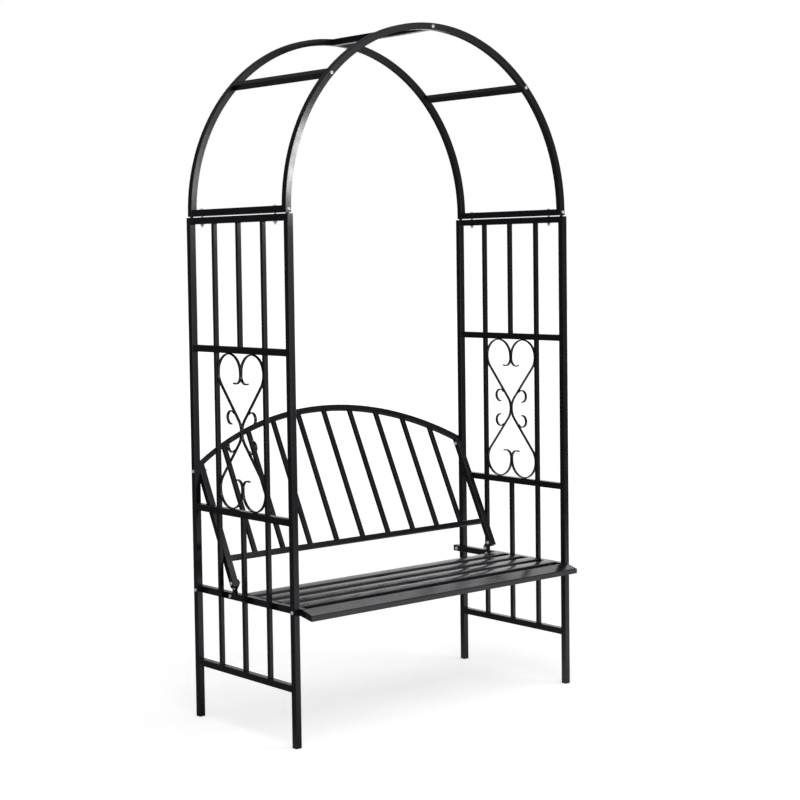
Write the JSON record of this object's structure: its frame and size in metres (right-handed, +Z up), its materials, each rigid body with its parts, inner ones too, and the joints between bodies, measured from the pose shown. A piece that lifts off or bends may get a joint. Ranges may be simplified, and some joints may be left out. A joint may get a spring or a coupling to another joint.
{
  "type": "arbor bench",
  "caption": "Garden arbor bench: trellis side panels with scroll work carry a round arch over a slatted seat with a reclined back of bars.",
  "frame": {"origin": "on the floor under the middle of the bounding box", "axes": "+X to the viewer's right along the bench, front faces -Y, +Z up"},
  "size_m": [1.11, 0.6336, 2.078],
  "materials": {
    "black_coat": "satin powder coat",
    "black_plastic": "matt moulded plastic",
    "grey_coat": "satin powder coat on pressed sheet"
  },
  "bodies": {
    "root": {"apex_crossbar": "black_coat", "back_bars": "black_coat", "back_bottom_rail": "black_coat", "back_top_rail": "black_coat", "foot_plugs": "black_plastic", "front_hoop": "black_coat", "front_seat_slat": "grey_coat", "hoop_connectors": "black_coat", "left_back_upright": "black_coat", "left_base_bar": "black_coat", "left_crossbar": "black_coat", "left_front_leg": "black_coat", "left_front_scroll": "black_coat", "left_panel_lower_bars": "black_coat", "left_panel_lower_rail": "black_coat", "left_panel_middle_bars": "black_coat", "left_panel_middle_rail": "black_coat", "left_panel_top_rail": "black_coat", "left_panel_upper_bars": "black_coat", "left_panel_upper_rail": "black_coat", "left_rear_leg": "black_coat", "left_rear_scroll": "black_coat", "left_seat_rail": "black_coat", "rear_hoop": "black_coat", "right_back_upright": "black_coat", "right_base_bar": "black_coat", "right_crossbar": "black_coat", "right_front_leg": "black_coat", "right_front_scroll": "black_coat", "right_panel_lower_bars": "black_coat", "right_panel_lower_rail": "black_coat", "right_panel_middle_bars": "black_coat", "right_panel_middle_rail": "black_coat", "right_panel_top_rail": "black_coat", "right_panel_upper_bars": "black_coat", "right_panel_upper_rail": "black_coat", "right_rear_leg": "black_coat", "right_rear_scroll": "black_coat", "right_seat_rail": "black_coat", "seat_slat_1": "grey_coat", "seat_slat_2": "grey_coat", "seat_slat_3": "grey_coat", "seat_slat_4": "grey_coat", "seat_strap": "black_coat", "small_scrolls": "black_coat", "tie_plates": "black_coat", "tube_end_plugs": "black_plastic"}
  },
  "joints": []
}
